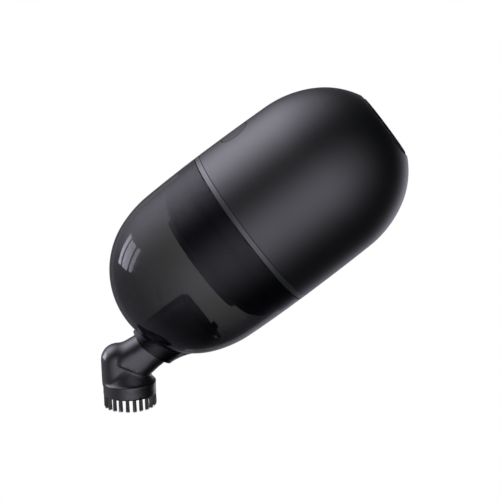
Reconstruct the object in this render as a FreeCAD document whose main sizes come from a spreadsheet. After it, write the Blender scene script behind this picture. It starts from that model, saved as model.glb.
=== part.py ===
"""Desktop mini vacuum cleaner: a capsule that stands on its base, millimetres, +Z up.

The origin is the middle of the rest face. The suction inlet and the bent brush nozzle lean
towards -X, the power button faces +X and the charging port faces -X.
"""

import FreeCAD
import Part

import math
import operator
import os
from types import SimpleNamespace

import Sketcher
from FreeCAD import Placement, Rotation, Vector

DRIVING = {
    # capsule, measured from the widest plane (the seam) down and up
    "seam_height": 58.0,
    "body_radius": 30.25,
    "base_barrel_radius": 925.0,
    "base_shoulder_radius": 37.0,
    "base_dome_radius": 28.7,
    "base_dome_depth": 32.08,
    "cup_barrel_radius": 497.0,
    "cup_shoulder_radius": 40.8,
    "cup_dome_radius": 29.0,
    "cup_dome_height": 24.5,
    "body_wall": 2.0,
    "cup_wall": 1.4,
    # fits
    "slide_gap": 0.15,
    "fit_gap": 0.1,
    "pin_gap": 0.05,
    # seam and trim ring
    "shell_top_drop": 1.2,
    "trim_height": 2.1,
    "trim_width": 0.9,
    "trim_chamfer": 0.25,
    # base insert
    "rim_height": 0.45,
    "foot_height": 0.6,
    "foot_width": 2.0,
    "foot_angle": 80.0,
    "foot_count": 3,
    "cap_radius": 12.15,
    "cap_plate": 1.6,
    "cap_skirt": 1.15,
    "cap_depth": 5.4,
    "barb_reach": 0.75,
    "barb_height": 0.7,
    "exhaust_slot_width": 1.6,
    "exhaust_slot_start": 2.6,
    "exhaust_slot_count": 10,
    "exhaust_filter_height": 3.0,
    # chassis, motor and battery
    "chassis_height": 12.0,
    "chassis_plate": 1.6,
    "chassis_hole_radius": 2.4,
    "chassis_hole_count": 8,
    "cradle_wall": 1.2,
    "cradle_height": 6.4,
    "motor_radius": 12.0,
    "motor_length": 26.0,
    "motor_boss_radius": 5.0,
    "motor_boss_height": 1.5,
    "shaft_radius": 1.0,
    "shaft_depth": 3.0,
    "battery_thickness": 8.0,
    "battery_width": 24.0,
    "battery_height": 21.0,
    "battery_lift": 4.4,
    "battery_gap": 1.1,
    # main board, switch and button
    "board_thickness": 1.6,
    "board_width": 17.0,
    "board_height": 36.0,
    "board_gap": 0.8,
    "slot_height": 8.4,
    "switch_side": 6.0,
    "switch_height": 2.9,
    "plunger_radius": 1.75,
    "plunger_height": 1.0,
    "button_height": 42.3,
    "button_radius": 5.15,
    "button_gap": 0.25,
    "button_flange": 1.35,
    "button_flange_height": 1.0,
    "button_stroke": 0.8,
    "button_chamfer": 0.3,
    "collar_wall": 1.5,
    "collar_depth": 3.6,
    # charging port
    "port_height": 45.8,
    "port_width": 8.94,
    "port_thickness": 3.2,
    "port_length": 7.2,
    "port_wall": 0.3,
    "port_recess": 0.5,
    "port_board_thickness": 1.0,
    "port_board_width": 13.0,
    "port_board_length": 8.0,
    "shelf_thickness": 1.8,
    # fan
    "fan_wall": 1.2,
    "fan_radius": 16.6,
    "fan_floor": 1.5,
    "window_width": 5.0,
    "window_height": 6.0,
    "impeller_radius": 14.4,
    "impeller_lift": 1.9,
    "impeller_plate": 1.2,
    "impeller_hub": 3.2,
    "blade_height": 7.6,
    "blade_thickness": 1.0,
    "blade_root": 5.2,
    "blade_sweep": 83.0,
    "blade_curve": 11.0,
    "blade_count": 9,
    # screws
    "screw_radius": 0.95,
    "screw_head_radius": 1.9,
    "screw_head_height": 1.2,
    "screw_length": 9.0,
    "screw_circle": 24.2,
    "screw_count": 4,
    "boss_wall": 1.6,
    "boss_height": 17.0,
    "rib_width": 1.8,
    "motor_screw_circle": 8.0,
    "motor_screw_length": 5.0,
    # filter deck
    "deck_drop": 4.7,
    "deck_plate": 2.2,
    "intake_radius": 8.0,
    "spoke_width": 1.0,
    "spoke_count": 3,
    "ledge_height": 0.4,
    "ledge_width": 1.8,
    "socket_height": 6.0,
    "socket_wall": 0.8,
    "seal_height": 2.0,
    "seal_lip": 0.15,
    "rabbet_spare": 0.5,
    # filter unit
    "filter_wall": 1.2,
    "gasket_height": 0.85,
    "collar_height": 9.5,
    "filter_top_radius": 18.3,
    "filter_shoulder_rise": 8.6,
    "filter_shoulder_radius": 9.4,
    "filter_lip_height": 1.9,
    "filter_lip_wall": 1.4,
    "screen_ledge": 1.0,
    "screen_thickness": 0.8,
    "screen_slot_width": 1.3,
    "screen_slot_count": 12,
    "pleat_radius": 15.2,
    "pleat_root": 11.4,
    "pleat_count": 20,
    "pleat_height": 12.5,
    "pleat_core": 9.6,
    "end_cap_thickness": 1.4,
    "end_cap_overhang": 0.4,
    "filter_base_thickness": 1.2,
    # cup snout, duct and nozzle tube, all on one axis beside the capsule's
    "inlet_offset": 13.3,
    "tube_half_width": 6.8,
    "tube_half_depth": 6.1,
    "tube_corner": 5.2,
    "tube_wall": 1.3,
    "tube_low": 97.0,
    "tube_gap": 0.3,
    "snout_radius": 8.35,
    "snout_height": 111.3,
    "snout_tilt": 16.0,
    "snout_top": 112.5,
    "snout_wall": 0.55,
    "flare_radius": 10.9,
    "flare_low": 99.5,
    "flare_top": 108.0,
    "flare_curve": 20.0,
    "duct_inner_edge": 5.3,
    "duct_outer_edge": 24.2,
    "duct_half_depth": 8.6,
    "duct_corner": 6.0,
    "duct_low": 95.3,
    "valve_height": 3.9,
    "valve_seat": 1.3,
    "valve_opening": 5.6,
    "flap_thickness": 1.0,
    "flap_gap": 0.2,
    "flap_tip": 6.6,
    "flap_root": 20.6,
    "flap_half_width": 6.6,
    "flap_corner": 3.0,
    "hinge_offset": 22.2,
    "hinge_radius": 0.6,
    "knuckle_radius": 1.0,
    "knuckle_half": 5.0,
    "lug_thickness": 1.8,
    "lug_half_width": 1.2,
    "seal_groove_height": 103.0,
    "seal_groove_depth": 0.5,
    "seal_thickness": 1.1,
    # brush head, measured along the brush axis from the elbow
    "elbow_height": 121.05,
    "brush_tilt": 55.0,
    "head_radius": 9.35,
    "head_half_depth": 6.8,
    "head_rise": 6.9,
    "head_back_round": 6.5,
    "head_front": 8.3,
    "cheek_front": 3.0,
    "cheek_corner": 3.0,
    "hood_rise": 6.6,
    "ring_start": 6.0,
    "ring_height": 4.5,
    "ring_wall": 1.85,
    "ring_chamfer": 0.3,
    "spigot_wall": 1.1,
    "tuft_radius": 0.65,
    "tuft_circle": 8.42,
    "tuft_depth": 2.5,
    "tuft_length": 4.3,
    "tuft_count": 22,
}

OPERATIONS = {"+": operator.add, "-": operator.sub, "*": operator.mul, "/": operator.truediv}
RIGHT = "right"
FULL_TURN = 360

document = FreeCAD.newDocument("desktop_vacuum")


# ---------------------------------------------------------------- sizes


class Size:
    """A number together with the sheet formula that gives it."""

    def __init__(self, number, formula, constant=False):
        self.number = number
        self.formula = formula
        self.constant = constant

    def __add__(self, other):
        return join(self, "+", other)

    def __radd__(self, other):
        return join(other, "+", self)

    def __sub__(self, other):
        return join(self, "-", other)

    def __rsub__(self, other):
        return join(other, "-", self)

    def __mul__(self, other):
        return join(self, "*", other)

    def __rmul__(self, other):
        return join(other, "*", self)

    def __truediv__(self, other):
        return join(self, "/", other)

    def __neg__(self):
        return join(0, "-", self)


def as_size(value):
    """A Size from a Size or a plain number."""
    return value if isinstance(value, Size) else Size(float(value), f"{value:g}", True)


def join(left, sign, right):
    """The Size that an arithmetic sign gives."""
    left = as_size(left)
    right = as_size(right)
    number = OPERATIONS[sign](left.number, right.number)
    constant = left.constant and right.constant
    return Size(number, f"({left.formula} {sign} {right.formula})", constant)


def root(value):
    """Square root of a Size."""
    return Size(math.sqrt(value.number), f"sqrt({value.formula})")


def sine(degrees):
    """Sine of a Size in degrees."""
    return Size(math.sin(math.radians(degrees.number)), f"sin({degrees.formula})")


def cosine(degrees):
    """Cosine of a Size in degrees."""
    return Size(math.cos(math.radians(degrees.number)), f"cos({degrees.formula})")


def driving_sizes():
    """Write the spreadsheet and return its cells as Sizes."""
    sheet = document.addObject("Spreadsheet::Sheet", "Sizes")
    for row, (alias, number) in enumerate(DRIVING.items(), start=1):
        sheet.set(f"A{row}", alias.replace("_", " "))
        sheet.set(f"B{row}", f"{number:g}")
        sheet.setAlias(f"B{row}", alias)
    document.recompute()
    cells = {alias: Size(float(getattr(sheet, alias)), f"Sizes.{alias}") for alias in DRIVING}
    return SimpleNamespace(**cells)


# ---------------------------------------------------------------- drawing helpers


def bind(item, name, value):
    """Tie a property to its sheet formula, or set it where the value is a plain zero."""
    value = as_size(value)
    if not (value.constant and value.number == 0):
        item.setExpression(name, value.formula)


def new_body(label):
    """An empty PartDesign body."""
    body = document.addObject("PartDesign::Body", label)
    body.Label = label
    return body


def new_sketch(body, role="XY_Plane", offset=0):
    """An empty sketch on an origin plane of its body, moved along the plane's normal."""
    plane = next(item for item in body.Origin.OriginFeatures if item.Role == role)
    sketch = body.newObject("Sketcher::SketchObject", body.Label + "_sketch")
    sketch.AttachmentSupport = [(plane, "")]
    sketch.MapMode = "FlatFace"
    bind(sketch, "AttachmentOffset.Base.z", offset)
    return sketch


def dimension(sketch, kind, elements, value):
    """Add one driving dimension, or put the point on the axis where the value is zero."""
    value = as_size(value)
    if value.constant and value.number == 0:
        axis = -2 if kind == "DistanceX" else -1
        sketch.addConstraint(Sketcher.Constraint("PointOnObject", elements[-2], elements[-1], axis))
        return
    index = sketch.addConstraint(Sketcher.Constraint(kind, *elements, value.number))
    sketch.setExpression(f"Constraints[{index}]", value.formula)


def place_point(sketch, geometry, end, across, up):
    """Dimension one end of a sketch edge from the sketch's origin."""
    dimension(sketch, "DistanceX", (-1, 1, geometry, end), across)
    dimension(sketch, "DistanceY", (-1, 1, geometry, end), up)


def arc_between(start, finish, radius, turns_right):
    """The shorter arc from start to finish, as the counter-clockwise arc a sketch wants."""
    chord = finish - start
    depth = math.sqrt(max(radius**2 - (chord.Length / 2) ** 2, 0))
    left = Vector(-chord.y, chord.x, 0).normalize()
    centre = start + chord * 0.5 + left * (-depth if turns_right else depth)
    first, last = (finish, start) if turns_right else (start, finish)
    circle = Part.Circle(centre, Vector(0, 0, 1), radius)
    begin = math.atan2(first.y - centre.y, first.x - centre.x)
    stop = math.atan2(last.y - centre.y, last.x - centre.x)
    return Part.ArcOfCircle(circle, begin, stop)


def draw_outline(sketch, corners):
    """Draw a closed outline through (across, up) corners.

    The edge that reaches a corner (across, up, radius) is an arc turning left, and one that
    reaches (across, up, radius, RIGHT) is an arc turning right.
    """
    points = [(as_size(corner[0]), as_size(corner[1])) for corner in corners]
    spots = [Vector(across.number, up.number, 0) for across, up in points]
    edges = []
    for index, corner in enumerate(corners):
        start = spots[index - 1]
        finish = spots[index]
        if len(corner) == 2:
            geometry = sketch.addGeometry(Part.LineSegment(start, finish))
            edges.append((geometry, 1, 2))
            continue
        turns_right = len(corner) == 4
        radius = as_size(corner[2])
        geometry = sketch.addGeometry(arc_between(start, finish, radius.number, turns_right))
        dimension(sketch, "Radius", (geometry,), radius)
        edges.append((geometry, 2, 1) if turns_right else (geometry, 1, 2))
    for index, (geometry, _, end) in enumerate(edges):
        following, begin, _ = edges[(index + 1) % len(edges)]
        sketch.addConstraint(Sketcher.Constraint("Coincident", geometry, end, following, begin))
        place_point(sketch, geometry, end, *points[index])


def draw_circle(sketch, across, up, radius):
    """Draw one dimensioned circle."""
    centre = Vector(as_size(across).number, as_size(up).number, 0)
    circle = Part.Circle(centre, Vector(0, 0, 1), as_size(radius).number)
    geometry = sketch.addGeometry(circle)
    place_point(sketch, geometry, 3, across, up)
    dimension(sketch, "Radius", (geometry,), radius)


def rectangle(low_across, low_up, high_across, high_up):
    """Corners of a plain rectangle."""
    return [
        (low_across, low_up),
        (high_across, low_up),
        (high_across, high_up),
        (low_across, high_up),
    ]


def rounded_rectangle(middle, half_width, half_depth, corner):
    """Corners of a rounded rectangle centred on (middle, 0)."""
    low = middle - half_width
    high = middle + half_width
    return [
        (high - corner, -half_depth),
        (high, corner - half_depth, corner),
        (high, half_depth - corner),
        (high - corner, half_depth, corner),
        (low + corner, half_depth),
        (low, half_depth - corner, corner),
        (low, corner - half_depth),
        (low + corner, -half_depth, corner),
    ]


def revolve(body, corners, angle=FULL_TURN):
    """Revolve a (radius, height) outline about the body's own Z axis."""
    sketch = new_sketch(body, "XZ_Plane")
    draw_outline(sketch, corners)
    feature = body.newObject("PartDesign::Revolution", body.Label + "_turn")
    feature.Profile = sketch
    feature.ReferenceAxis = (sketch, ["V_Axis"])
    feature.Midplane = True
    angle = as_size(angle)
    feature.Angle = angle.number
    if not angle.constant:
        feature.setExpression("Angle", angle.formula)
    sketch.Visibility = False
    return feature


def turned(label, corners, angle=FULL_TURN):
    """A body of revolution about Z."""
    body = new_body(label)
    revolve(body, corners, angle)
    return body


def pad(body, sketch, length):
    """Pad a sketch along its plane's normal."""
    feature = body.newObject("PartDesign::Pad", body.Label + "_pad")
    feature.Profile = sketch
    bind(feature, "Length", length)
    return feature


def pocket(body, sketch, length, reverse=False, both_ways=False):
    """Cut a sketch into the body, against its plane's normal unless reversed."""
    feature = body.newObject("PartDesign::Pocket", body.Label + "_pocket")
    feature.Profile = sketch
    bind(feature, "Length", length)
    feature.Reversed = reverse
    feature.Midplane = both_ways
    return feature


def around(body, feature, count):
    """Repeat a feature about the normal through its sketch's origin."""
    pattern = body.newObject("PartDesign::PolarPattern", body.Label + "_pattern")
    pattern.Originals = [feature]
    pattern.Axis = (feature.Profile[0], ["N_Axis"])
    pattern.Angle = FULL_TURN
    bind(pattern, "Occurrences", count)
    body.Tip = pattern
    return pattern


def prism(label, corners, low, high):
    """A straight body with an outline across X and Y, between two heights."""
    body = new_body(label)
    sketch = new_sketch(body, "XY_Plane", low)
    draw_outline(sketch, corners)
    pad(body, sketch, high - low)
    return body


def move(item, across=0, deep=0, up=0):
    """Place an object at bound coordinates."""
    bind(item, "Placement.Base.x", across)
    bind(item, "Placement.Base.y", deep)
    bind(item, "Placement.Base.z", up)
    return item


def cylinder(label, radius, length, across=0, deep=0, up=0, turn=None):
    """A Part cylinder; turn is the rotation that lays its Z axis down."""
    item = document.addObject("Part::Cylinder", label)
    bind(item, "Radius", radius)
    bind(item, "Height", length)
    if turn:
        item.Placement = Placement(Vector(), turn)
    return move(item, across, deep, up)


def box(label, low, high):
    """A Part box between two corners."""
    item = document.addObject("Part::Box", label)
    for name, start, stop in zip(("Length", "Width", "Height"), low, high):
        bind(item, name, stop - start)
    return move(item, *low)


def fused(label, items):
    """One solid from overlapping items."""
    item = document.addObject("Part::MultiFuse", label)
    item.Shapes = items
    item.Refine = True
    return item


def shared(label, items):
    """The space that all items share."""
    item = document.addObject("Part::MultiCommon", label)
    item.Shapes = items
    return item


def cut(label, base, tools):
    """The base without its tools."""
    item = document.addObject("Part::Cut", label)
    item.Base = base
    item.Tool = tools[0] if len(tools) == 1 else fused(label + "_tools", tools)
    item.Refine = True
    return item


def group(label, items):
    """Separate solids kept under one label."""
    item = document.addObject("Part::Compound", label)
    item.Links = items
    return item


d = driving_sizes()

ALONG_X = Rotation(Vector(0, 1, 0), 90)
ALONG_Y = Rotation(Vector(-1, 0, 0), 90)
UPSIDE_DOWN = Rotation(Vector(1, 0, 0), 180)

# heights and radii that several pieces share
shell_top = d.seam_height - d.shell_top_drop
trim_top = shell_top + d.trim_height
cup_low = trim_top + d.slide_gap
base_dome_centre = d.seam_height - d.base_dome_depth
cup_dome_centre = d.seam_height + d.cup_dome_height
cap_hole = d.cap_radius + d.fit_gap
cap_bore = d.cap_radius - d.cap_skirt
cap_plate_top = d.foot_height + d.cap_plate
chassis_top = d.chassis_height + d.chassis_plate
motor_top = chassis_top + d.motor_length
deck_low = d.seam_height - d.deck_drop
deck_top = deck_low + d.deck_plate
body_bore = d.body_radius - d.body_wall
trim_inner = d.body_radius - d.trim_width
socket_outer = trim_inner - d.fit_gap
socket_inner = socket_outer - d.socket_wall
socket_top = d.seam_height + d.socket_height
ledge = d.seam_height + d.ledge_height
seal_top = socket_top + d.seal_height
rabbet_radius = socket_outer + d.seal_lip + d.fit_gap
filter_low = ledge + d.pin_gap
filter_radius = socket_inner - d.slide_gap
filter_bore = filter_radius - d.filter_wall
holder_low = filter_low + d.gasket_height
collar_top = holder_low + d.collar_height
filter_lip_low = collar_top + d.filter_shoulder_rise
filter_top = filter_lip_low + d.filter_lip_height
filter_base_top = holder_low + d.filter_base_thickness
pleat_top = filter_base_top + d.pleat_height
board_inner = d.fan_radius + d.board_gap
board_outer = board_inner + d.board_thickness
valve_low = d.duct_low - d.valve_height
flap_top = valve_low - d.flap_gap
flap_low = flap_top - d.flap_thickness
ring_end = d.ring_start + d.ring_height
fan_floor_top = motor_top + d.fan_floor


def half_capsule(label, barrel, shoulder, dome, dome_height, inset, low, high, downwards):
    """A solid half of the capsule, drawn upwards from the seam plane.

    Barrel, shoulder and dome are tangent arcs. The half ends at its pole, or is flat at a
    height where one is given.
    """
    body = new_body(label)
    sketch = new_sketch(body, "XZ_Plane")
    barrel_centre = Vector((d.body_radius - barrel).number, 0, 0)
    dome_centre = Vector(0, dome_height.number, 0)
    reach = dome_centre - barrel_centre
    far = (barrel - shoulder).number
    near = (shoulder - dome).number
    along = (far**2 - near**2 + reach.Length**2) / (2 * reach.Length)
    aside = math.sqrt(far**2 - along**2)
    forward = Vector(reach).normalize()
    sideways = Vector(forward.y, -forward.x, 0)
    shoulder_centre = barrel_centre + forward * along + sideways * aside
    centres = (barrel_centre, shoulder_centre, dome_centre)
    radii = (barrel - inset, shoulder - inset, dome - inset)
    first_tilt = math.asin(as_size(low).number / radii[0].number)
    barrel_tilt = math.atan2(*reversed(tuple(shoulder_centre - barrel_centre)[:2]))
    dome_tilt = math.atan2(*reversed(tuple(dome_centre - shoulder_centre)[:2]))
    if high is None:
        last_tilt = math.pi / 2
    else:
        last_tilt = math.asin((high - dome_height).number / radii[2].number)
    tilts = (first_tilt, barrel_tilt, dome_tilt, last_tilt)
    arcs = []
    for index in range(3):
        circle = Part.Circle(centres[index], Vector(0, 0, 1), radii[index].number)
        arc = Part.ArcOfCircle(circle, tilts[index], tilts[index + 1])
        arcs.append(sketch.addGeometry(arc))
        dimension(sketch, "Radius", (arcs[index],), radii[index])
    place_point(sketch, arcs[0], 3, d.body_radius - barrel, 0)
    place_point(sketch, arcs[2], 3, 0, dome_height)
    sketch.addConstraint(Sketcher.Constraint("Tangent", arcs[0], 2, arcs[1], 1))
    sketch.addConstraint(Sketcher.Constraint("Tangent", arcs[1], 2, arcs[2], 1))
    dimension(sketch, "DistanceY", (-1, 1, arcs[0], 1), low)
    start = sketch.Geometry[arcs[0]].StartPoint
    stop = sketch.Geometry[arcs[2]].EndPoint
    foot = Vector(0, start.y, 0)
    tip = Vector(0, stop.y, 0)
    floor = sketch.addGeometry(Part.LineSegment(foot, start))
    sketch.addConstraint(Sketcher.Constraint("Coincident", floor, 2, arcs[0], 1))
    sketch.addConstraint(Sketcher.Constraint("Horizontal", floor))
    sketch.addConstraint(Sketcher.Constraint("PointOnObject", floor, 1, -2))
    last, last_end = arcs[2], 2
    if high is not None:
        dimension(sketch, "DistanceY", (-1, 1, arcs[2], 2), high)
        flat = sketch.addGeometry(Part.LineSegment(stop, tip))
        sketch.addConstraint(Sketcher.Constraint("Coincident", arcs[2], 2, flat, 1))
        sketch.addConstraint(Sketcher.Constraint("Horizontal", flat))
        last = flat
    sketch.addConstraint(Sketcher.Constraint("PointOnObject", last, last_end, -2))
    spine = sketch.addGeometry(Part.LineSegment(tip, foot))
    sketch.addConstraint(Sketcher.Constraint("Coincident", last, last_end, spine, 1))
    sketch.addConstraint(Sketcher.Constraint("Coincident", spine, 2, floor, 1))
    feature = body.newObject("PartDesign::Revolution", label + "_turn")
    feature.Profile = sketch
    feature.ReferenceAxis = (sketch, ["V_Axis"])
    feature.Angle = FULL_TURN
    if downwards:
        body.Placement = Placement(Vector(), UPSIDE_DOWN)
    return move(body, up=d.seam_height)


def base_half(label, inset, low, high):
    """The lower half of the capsule; heights are distances below the seam."""
    arcs = (d.base_barrel_radius, d.base_shoulder_radius, d.base_dome_radius, d.base_dome_depth)
    return half_capsule(label, *arcs, inset, low, high, True)


def cup_half(label, inset, low):
    """The upper half of the capsule; low is a distance above the seam."""
    arcs = (d.cup_barrel_radius, d.cup_shoulder_radius, d.cup_dome_radius, d.cup_dome_height)
    return half_capsule(label, *arcs, inset, low, None, False)


# ---------------------------------------------------------------- main body


def screw_spots(circle, count, first=45.0):
    """Bound (across, deep) places on a circle, and their angles."""
    for index in range(count):
        angle = as_size(first + index * FULL_TURN / count)
        yield circle * cosine(angle), circle * sine(angle), angle.number


def body_shell():
    """Lower capsule shell: screw bosses, button collar, port shelf and the openings."""
    outer = base_half("shell_outer", 0, d.shell_top_drop, d.seam_height - d.rim_height)
    keep = base_half("shell_limit", d.body_wall / 2, d.shell_top_drop, None)
    inner = base_half("shell_inner", d.body_wall, 0, None)
    hollow = cut("shell_hollow", outer, [inner])
    boss_low = deck_low - d.boss_height
    lugs = []
    holes = []
    for across, deep, angle in screw_spots(d.screw_circle, int(d.screw_count.number)):
        radius = d.screw_radius + d.boss_wall
        lugs.append(cylinder("boss", radius, d.boss_height, across, deep, boss_low))
        holes.append(cylinder("boss_hole", d.screw_radius, d.boss_height, across, deep, boss_low))
        rib = document.addObject("Part::Box", "boss_rib")
        bind(rib, "Length", d.body_radius - d.screw_circle)
        bind(rib, "Width", d.rib_width)
        bind(rib, "Height", d.boss_height)
        rib.Placement = Placement(Vector(), Rotation(Vector(0, 0, 1), angle))
        side = d.rib_width / 2
        turn = as_size(angle)
        lugs.append(move(rib, across + side * sine(turn), deep - side * cosine(turn), boss_low))
    bore = d.button_radius + d.button_gap
    collar_start = d.body_radius - d.body_wall / 2 - d.collar_depth
    collar = cylinder(
        "collar", bore + d.collar_wall, d.collar_depth, collar_start, 0, d.button_height, ALONG_X
    )
    shelf_top = d.port_height - d.port_thickness / 2 - d.port_board_thickness
    shelf = box(
        "shelf",
        (-d.body_radius, -(d.port_board_width / 2), shelf_top - d.shelf_thickness),
        (port_front() + d.port_length, d.port_board_width / 2, shelf_top),
    )
    features = shared("shell_features", [fused("shell_feature_set", [*lugs, collar, shelf]), keep])
    raw = fused("shell_raw", [hollow, features])
    holes.append(
        cylinder("button_hole", bore, d.body_radius, collar_start, 0, d.button_height, ALONG_X)
    )
    holes.append(cylinder("cap_hole", cap_hole, cap_plate_top + d.body_wall))
    opening = prism(
        "port_hole",
        rounded_rectangle(
            as_size(0),
            d.port_thickness / 2 + d.button_gap,
            d.port_width / 2 + d.button_gap,
            d.port_thickness / 2,
        ),
        as_size(0),
        d.body_wall * 3,
    )
    opening.Placement = Placement(Vector(), Rotation(Vector(0, -1, 0), 90))
    holes.append(move(opening, d.body_wall * 2 - d.body_radius, 0, d.port_height))
    return cut("body_shell", raw, holes)


def port_front():
    """Where the charging port's mouth lies along X."""
    return d.port_recess - root(
        d.body_radius * d.body_radius - d.port_width * d.port_width / 4
    )


def trim_ring():
    """Satin ring that covers the joint between shell and cup."""
    outer = d.body_radius
    edge = d.trim_chamfer
    return turned(
        "trim_ring",
        [
            (trim_inner, shell_top),
            (outer - edge, shell_top),
            (outer, shell_top + edge),
            (outer, trim_top - edge),
            (outer - edge, trim_top),
            (trim_inner, trim_top),
        ],
    )


def base_cap():
    """Snap-in base insert with radial exhaust slots."""
    barb_low = base_dome_centre - root(
        (d.base_dome_radius - d.body_wall) * (d.base_dome_radius - d.body_wall)
        - (d.cap_radius + d.barb_reach) * (d.cap_radius + d.barb_reach)
    )
    barb_low = barb_low + d.slide_gap
    top = d.foot_height + d.cap_depth
    body = turned(
        "base_cap",
        [
            (0, d.foot_height),
            (d.cap_radius, d.foot_height),
            (d.cap_radius, barb_low),
            (d.cap_radius + d.barb_reach, barb_low),
            (d.cap_radius + d.barb_reach, barb_low + d.barb_height),
            (d.cap_radius, barb_low + d.barb_height * 2),
            (d.cap_radius, top),
            (cap_bore, top),
            (cap_bore, cap_plate_top),
            (0, cap_plate_top),
        ],
    )
    sketch = new_sketch(body, "XY_Plane", cap_plate_top)
    half = d.exhaust_slot_width / 2
    finish = cap_bore - d.foot_width - d.foot_height
    draw_outline(sketch, rectangle(d.exhaust_slot_start, -half, finish, half))
    around(body, pocket(body, sketch, d.cap_plate), d.exhaust_slot_count)
    return body


def foot_pads():
    """Rubber arcs that the cleaner stands on; the exhaust leaves between them."""
    outer = d.cap_radius - d.foot_height
    pads = []
    for index in range(int(d.foot_count.number)):
        corners = rectangle(outer - d.foot_width, 0, outer, d.foot_height)
        item = turned("foot_pad", corners, d.foot_angle)
        angle = index * FULL_TURN / d.foot_count.number
        item.Placement = Placement(Vector(), Rotation(Vector(0, 0, 1), angle))
        pads.append(item)
    return group("foot_pads", pads)


def exhaust_filter():
    """Foam disc inside the base cap."""
    radius = cap_bore - d.fit_gap
    return cylinder("exhaust_filter", radius, d.exhaust_filter_height, up=cap_plate_top)


def chassis():
    """Moulded plate with the motor cradle, the battery step and the board slots."""
    bore = d.base_dome_radius - d.body_wall
    drop = base_dome_centre - d.chassis_height
    radius = root(bore * bore - drop * drop) - d.button_gap
    body = new_body("chassis")
    plate = new_sketch(body, "XY_Plane", d.chassis_height)
    draw_circle(plate, 0, 0, radius)
    pad(body, plate, d.chassis_plate)
    cradle = new_sketch(body, "XY_Plane", chassis_top)
    inner = d.motor_radius + d.fit_gap
    draw_circle(cradle, 0, 0, inner)
    draw_circle(cradle, 0, 0, inner + d.cradle_wall)
    pad(body, cradle, d.cradle_height)
    step = new_sketch(body, "XY_Plane", chassis_top)
    edge = d.motor_radius + d.cradle_wall + d.battery_gap
    half = d.battery_width / 2 - d.cradle_wall * 2
    draw_outline(
        step, rectangle(-(edge + d.battery_thickness * 0.75), -half, -edge, half)
    )
    pad(body, step, d.battery_lift)
    for side in (-1, 1):
        rail = new_sketch(body, "XY_Plane", chassis_top)
        near = d.board_width / 2 - d.cradle_wall
        far = d.board_width / 2 + d.cradle_wall
        low, high = (near, far) if side > 0 else (-far, -near)
        corners = rectangle(board_inner - d.cradle_wall, low, board_outer + d.cradle_wall, high)
        draw_outline(rail, corners)
        pad(body, rail, d.slot_height)
    slot = new_sketch(body, "XY_Plane", chassis_top + d.slot_height)
    half = d.board_width / 2 + d.fit_gap
    corners = rectangle(board_inner - d.pin_gap, -half, board_outer + d.pin_gap, half)
    draw_outline(slot, corners)
    pocket(body, slot, d.slot_height)
    vents = new_sketch(body, "XY_Plane", chassis_top)
    middle = (inner + d.cradle_wall + radius) / 2
    spread = as_size(FULL_TURN) / d.chassis_hole_count / 2
    draw_circle(vents, middle * cosine(spread), middle * sine(spread), d.chassis_hole_radius)
    around(body, pocket(body, vents, d.chassis_plate), d.chassis_hole_count)
    return body


def motor():
    """Can motor with its front boss, shaft bore and two tapped holes."""
    top = motor_top + d.motor_boss_height
    body = turned(
        "motor",
        [
            (0, chassis_top),
            (d.motor_radius, chassis_top),
            (d.motor_radius, motor_top),
            (d.motor_boss_radius, motor_top),
            (d.motor_boss_radius, top),
            (0, top),
        ],
    )
    bore = new_sketch(body, "XY_Plane", top)
    draw_circle(bore, 0, 0, d.shaft_radius + d.pin_gap)
    pocket(body, bore, d.motor_boss_height + d.shaft_depth)
    taps = new_sketch(body, "XY_Plane", motor_top)
    draw_circle(taps, 0, d.motor_screw_circle, d.screw_radius)
    draw_circle(taps, 0, -d.motor_screw_circle, d.screw_radius)
    pocket(body, taps, d.motor_screw_length)
    return body


def screw(label, length, across, deep, seat):
    """Pan-head screw whose head rests on the seat height."""
    item = turned(
        label,
        [
            (0, -length),
            (d.screw_radius, -length),
            (d.screw_radius, 0),
            (d.screw_head_radius, 0),
            (d.screw_head_radius, d.screw_head_height * 0.5),
            (d.screw_head_radius * 0.6, d.screw_head_height),
            (0, d.screw_head_height),
        ],
    )
    return move(item, across, deep, seat)


def motor_screws():
    """Two screws that hold the fan housing on the motor."""
    length = d.motor_screw_length * 0.8 + d.fan_floor
    return group(
        "motor_screws",
        [
            screw("motor_screw", length, 0, d.motor_screw_circle, fan_floor_top),
            screw("motor_screw", length, 0, -d.motor_screw_circle, fan_floor_top),
        ],
    )


def deck_screws():
    """Screws through the filter deck into the shell's bosses."""
    spots = screw_spots(d.screw_circle, int(d.screw_count.number))
    return group(
        "deck_screws",
        [screw("deck_screw", d.screw_length, across, deep, deck_top) for across, deep, _ in spots],
    )


def battery():
    """Pouch cell beside the motor."""
    inner = d.motor_radius + d.cradle_wall + d.battery_gap
    middle = -(inner + d.battery_thickness / 2)
    low = chassis_top + d.battery_lift
    corners = rounded_rectangle(
        middle, d.battery_thickness / 2, d.battery_width / 2, d.battery_thickness * 0.3
    )
    return prism("battery", corners, low, low + d.battery_height)


def main_board():
    """Upright circuit board with its charger chip and capacitors."""
    half = d.board_width / 2
    top = chassis_top + d.board_height
    plate = box("board_plate", (board_inner, -half, chassis_top), (board_outer, half, top))
    chip_low = chassis_top + d.slot_height + d.board_thickness
    chip_side = d.board_width / 4
    chip = box(
        "board_chip",
        (board_outer, -chip_side, chip_low),
        (board_outer + d.board_thickness, chip_side, chip_low + chip_side),
    )
    capacitor = cylinder(
        "board_capacitor",
        d.board_thickness,
        d.board_thickness * 3,
        board_outer,
        0,
        chip_low + chip_side * 2,
        ALONG_X,
    )
    return fused("main_board", [plate, chip, capacitor])


def power_switch():
    """Tactile switch on the board, behind the button."""
    half = d.switch_side / 2
    face = board_outer + d.switch_height
    case = box(
        "switch_case",
        (board_outer, -half, d.button_height - half),
        (face, half, d.button_height + half),
    )
    plunger = cylinder(
        "switch_plunger", d.plunger_radius, d.plunger_height, face, 0, d.button_height, ALONG_X
    )
    return fused("power_switch", [case, plunger])


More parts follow.
